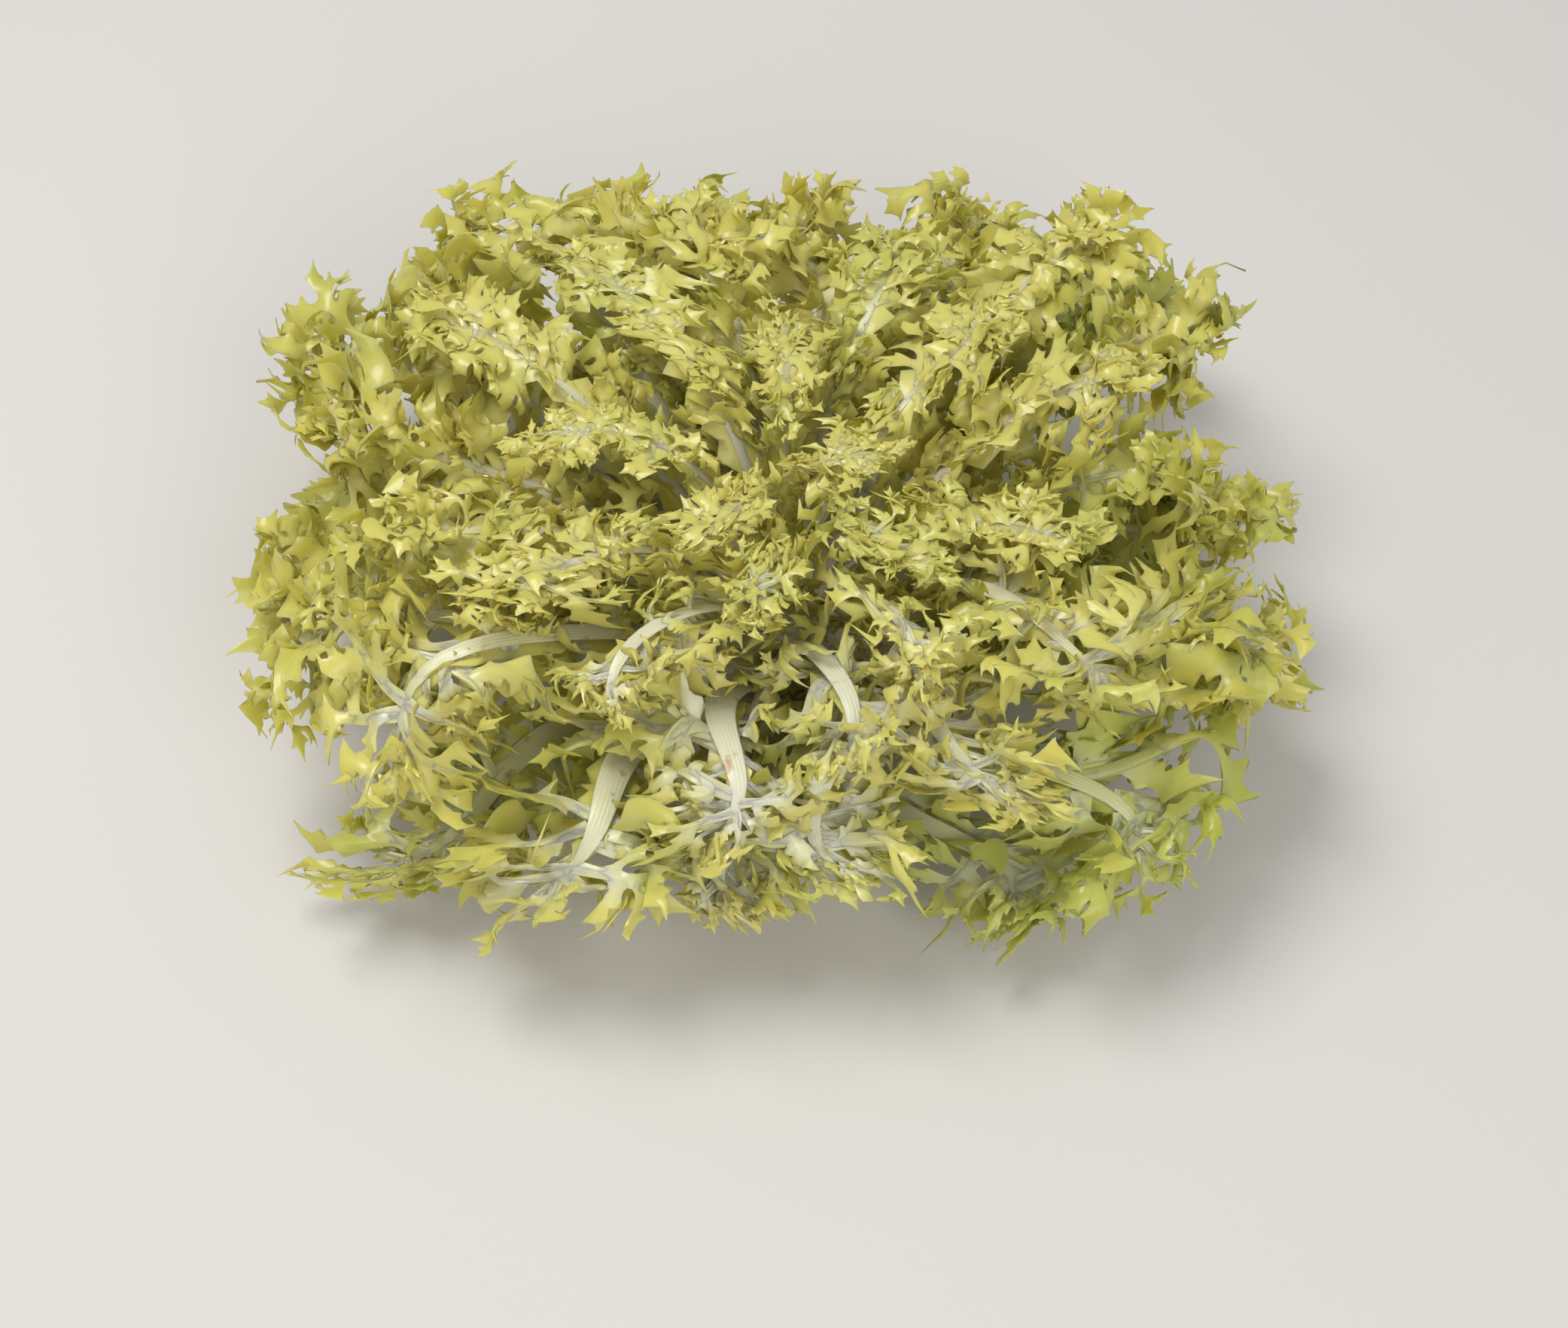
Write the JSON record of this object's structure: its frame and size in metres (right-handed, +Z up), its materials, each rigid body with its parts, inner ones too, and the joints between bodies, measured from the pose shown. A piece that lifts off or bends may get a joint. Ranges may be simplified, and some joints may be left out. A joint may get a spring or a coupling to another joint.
{
  "type": "curly endive head",
  "caption": "Head of fine curly endive: a low dome of deeply cut, frilled pale leaves in a spiral round a short white stem, standing on its flat cut end.",
  "frame": {"origin": "under the middle of the whole head, at the height of the stem's cut end", "axes": "+Z up out of the heart, +X along the head's width, -Y towards the side seen in the picture"},
  "size_m": [0.272, 0.225, 0.1058],
  "materials": {
    "stem_flesh": "white stem flesh, moist, satin, browned at the cut",
    "outer_leaf": "fresh leaf, light green to yellow with a white midrib, satin",
    "middle_leaf": "fresh leaf, yellow with a white midrib, satin",
    "inner_leaf": "fresh leaf, pale lemon yellow with a white midrib, satin",
    "heart_leaf": "young leaf, pale yellow, satin"
  },
  "bodies": {
    "root": {"stem": "stem_flesh", "outer_leaf_01": "outer_leaf", "outer_leaf_02": "outer_leaf", "outer_leaf_03": "outer_leaf", "outer_leaf_04": "outer_leaf", "outer_leaf_05": "outer_leaf", "outer_leaf_06": "outer_leaf", "outer_leaf_07": "outer_leaf", "outer_leaf_08": "outer_leaf", "outer_leaf_09": "outer_leaf", "outer_leaf_10": "outer_leaf", "outer_leaf_11": "outer_leaf", "outer_leaf_12": "outer_leaf", "outer_leaf_13": "outer_leaf", "middle_leaf_01": "middle_leaf", "middle_leaf_02": "middle_leaf", "middle_leaf_03": "middle_leaf", "middle_leaf_04": "middle_leaf", "middle_leaf_05": "middle_leaf", "middle_leaf_06": "middle_leaf", "middle_leaf_07": "middle_leaf", "middle_leaf_08": "middle_leaf", "middle_leaf_09": "middle_leaf", "middle_leaf_10": "middle_leaf", "middle_leaf_11": "middle_leaf", "middle_leaf_12": "middle_leaf", "middle_leaf_13": "middle_leaf", "inner_leaf_01": "inner_leaf", "inner_leaf_02": "inner_leaf", "inner_leaf_03": "inner_leaf", "inner_leaf_04": "inner_leaf", "inner_leaf_05": "inner_leaf", "inner_leaf_06": "inner_leaf", "inner_leaf_07": "inner_leaf", "inner_leaf_08": "inner_leaf", "inner_leaf_09": "inner_leaf", "inner_leaf_10": "inner_leaf", "inner_leaf_11": "inner_leaf", "inner_leaf_12": "inner_leaf", "inner_leaf_13": "inner_leaf", "inner_leaf_14": "inner_leaf", "heart": "heart_leaf"}
  },
  "joints": []
}
